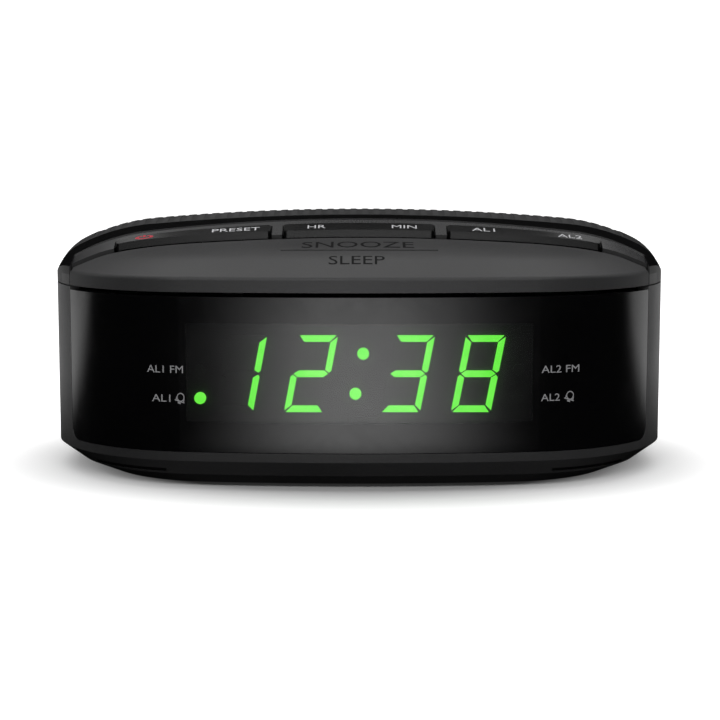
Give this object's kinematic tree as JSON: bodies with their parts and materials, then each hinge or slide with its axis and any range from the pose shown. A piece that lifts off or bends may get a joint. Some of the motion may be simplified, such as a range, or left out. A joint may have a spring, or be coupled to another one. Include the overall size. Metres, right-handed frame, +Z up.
{
  "type": "alarm clock",
  "caption": "Bedside clock radio with a wrap-around glossy lens, lit digits, a full-width snooze bar, three rocker keys and a domed speaker grille.",
  "frame": {"origin": "middle of the footprint, on the surface that the feet stand on", "axes": "+X to the right of somebody facing the display, the display faces -Y, +Z up"},
  "size_m": [0.155, 0.092, 0.065],
  "materials": {
    "housing": "fine matte texture",
    "bar": "fine matte texture",
    "gloss": "high gloss",
    "window": "smoked clear acrylic",
    "satin": "satin",
    "key": "satin",
    "grille": "matte",
    "rubber": "matte",
    "steel": "zinc plated",
    "spring_steel": "nickel plated",
    "cell": "printed jacket",
    "board": "solder mask",
    "black_part": "moulded",
    "can": "bright",
    "led_face": "matte",
    "led_lit": "lit",
    "led_off": "unlit",
    "paper": "pressed paper",
    "foam": "closed foam",
    "ferrite": "sintered",
    "brass": "bright"
  },
  "bodies": {
    "case": {"aerial_bush": "rubber", "arch_trim": "gloss", "base_cover": "housing", "battery_cells": "cell", "battery_contacts": "spring_steel", "battery_well": "black_part", "board_header": "black_part", "board_screws": "steel", "capacitors": "can", "chips": "black_part", "cover_screws": "steel", "crystal_can": "can", "display_board": "board", "display_lens": "gloss", "display_window": "window", "door_pins": "steel", "front_plate": "steel", "inlet_jack": "black_part", "inlet_pin": "brass", "key_board": "board", "key_pins": "steel", "key_trough": "satin", "led_module": "led_face", "lit_digit_1": "led_lit", "lit_digit_2": "led_lit", "lit_digit_3": "led_lit", "lit_digit_4": "led_lit", "lit_dots": "led_lit", "lower_housing": "housing", "main_board": "board", "pole_plate": "steel", "rear_hood": "housing", "rubber_feet": "rubber", "snooze_pins": "steel", "speaker_baffle": "black_part", "speaker_basket": "steel", "speaker_gasket": "foam", "speaker_grille": "grille", "speaker_magnet": "ferrite", "speaker_surround": "foam", "tact_switches": "black_part", "tuner_shield": "can", "unlit_dots": "led_off", "unlit_segments": "led_off"},
    "snooze_bar": {"snooze_bar": "bar"},
    "snooze_plungers": {"snooze_plungers": "black_part"},
    "key_power_preset": {"key_power_preset": "key"},
    "key_hour_minute": {"key_hour_minute": "key"},
    "key_alarm": {"key_alarm": "key"},
    "battery_door": {"battery_door": "housing"},
    "speaker_cone": {"speaker_cone": "paper", "dust_cap": "paper"}
  },
  "joints": [
    {"name": "snooze_hinge", "type": "hinge", "parent": "case", "child": "snooze_bar", "pos_m": [0, -0.0255, 0.05], "axis": [1, 0, 0], "range_deg": [0, 1.96], "stiffness_Nm_per_rad": 1.5, "springref_deg": -1.72},
    {"name": "snooze_press", "type": "slide", "parent": "case", "child": "snooze_plungers", "axis": [0, 0, -1], "range_m": [0, 0.00026]},
    {"name": "power_preset_rock", "type": "hinge", "parent": "case", "child": "key_power_preset", "pos_m": [-0.04125, -0.01865, 0.05633], "axis": [0, 1, 0], "range_deg": [-1.4, 1.4], "stiffness_Nm_per_rad": 0.4},
    {"name": "hour_minute_rock", "type": "hinge", "parent": "case", "child": "key_hour_minute", "pos_m": [-0.0001, -0.01865, 0.05764], "axis": [0, 1, 0], "range_deg": [-1.4, 1.4], "stiffness_Nm_per_rad": 0.4},
    {"name": "alarm_rock", "type": "hinge", "parent": "case", "child": "key_alarm", "pos_m": [0.041, -0.01865, 0.05635], "axis": [0, 1, 0], "range_deg": [-1.4, 1.4], "stiffness_Nm_per_rad": 0.4},
    {"name": "door_hinge", "type": "hinge", "parent": "case", "child": "battery_door", "pos_m": [0, 0.0229, 0.0027], "axis": [1, 0, 0], "range_deg": [0, 95]},
    {"name": "cone_slide", "type": "slide", "parent": "case", "child": "speaker_cone", "axis": [0, 0, 1], "range_m": [-0.0006, 0.0006], "stiffness_N_per_m": 1500, "deforming": ["speaker_surround"]}
  ],
  "couplings": [
    {"joint": "snooze_press", "follows": "snooze_hinge", "m_per_rad": 0.00732}
  ]
}
